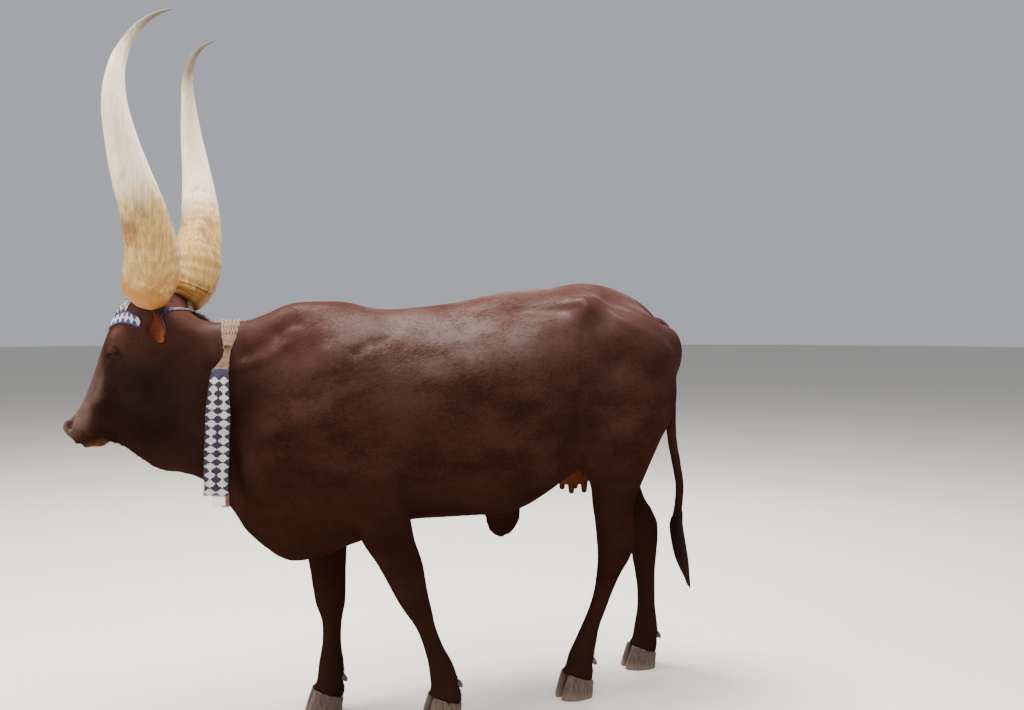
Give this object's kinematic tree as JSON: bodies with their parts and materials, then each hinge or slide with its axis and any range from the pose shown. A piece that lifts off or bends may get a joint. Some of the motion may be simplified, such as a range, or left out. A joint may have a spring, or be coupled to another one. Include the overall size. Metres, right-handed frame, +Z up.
{
  "type": "long-horned cattle",
  "caption": "Standing long-horned cow with a dark mahogany coat, tall lyre-shaped horns, a beaded headband and a hanging bead panel at the neck.",
  "frame": {"origin": "on the floor, under the middle of the bounding box", "axes": "+X towards the head end, +Y to the animal's left, +Z up"},
  "size_m": [2.1174, 0.6764, 2.1868],
  "materials": {
    "coat": "short glossy dark mahogany hair",
    "ear_coat": "short hair, thin and reddish inside",
    "udder_skin": "bare soft skin",
    "hoof": "dull dusty horn",
    "horn": "semi-polished ivory horn, ochre at the base, dark at the tip",
    "eye": "wet dark brown",
    "switch_hair": "long dark hair",
    "beadwork": "blue and white glass beads",
    "plaque_beads": "black and white bead cloth",
    "panel_beads": "navy and white diamond beadwork",
    "fibre": "twisted plant fibre",
    "hem_cloth": "white woven hem"
  },
  "bodies": {
    "root": {"torso": "coat", "neck": "coat", "head": "coat", "tail": "coat", "leg_fore_left_upper": "coat", "leg_fore_left_lower": "coat", "claw_fore_left_left": "hoof", "dewclaw_fore_left_left": "hoof", "claw_fore_left_right": "hoof", "dewclaw_fore_left_right": "hoof", "leg_fore_right_upper": "coat", "leg_fore_right_lower": "coat", "claw_fore_right_left": "hoof", "dewclaw_fore_right_left": "hoof", "claw_fore_right_right": "hoof", "dewclaw_fore_right_right": "hoof", "leg_hind_left_upper": "coat", "leg_hind_left_lower": "coat", "claw_hind_left_left": "hoof", "dewclaw_hind_left_left": "hoof", "claw_hind_left_right": "hoof", "dewclaw_hind_left_right": "hoof", "leg_hind_right_upper": "coat", "leg_hind_right_lower": "coat", "claw_hind_right_left": "hoof", "dewclaw_hind_right_left": "hoof", "claw_hind_right_right": "hoof", "dewclaw_hind_right_right": "hoof", "udder": "udder_skin", "eye_left": "eye", "horn_left": "horn", "ear_left": "ear_coat", "eye_right": "eye", "horn_right": "horn", "ear_right": "ear_coat", "tail_switch": "switch_hair", "headband": "beadwork", "headband_cord": "beadwork", "forehead_plaque": "plaque_beads", "neck_tie": "fibre", "neck_panel": "panel_beads", "panel_hem": "hem_cloth"}
  },
  "joints": []
}
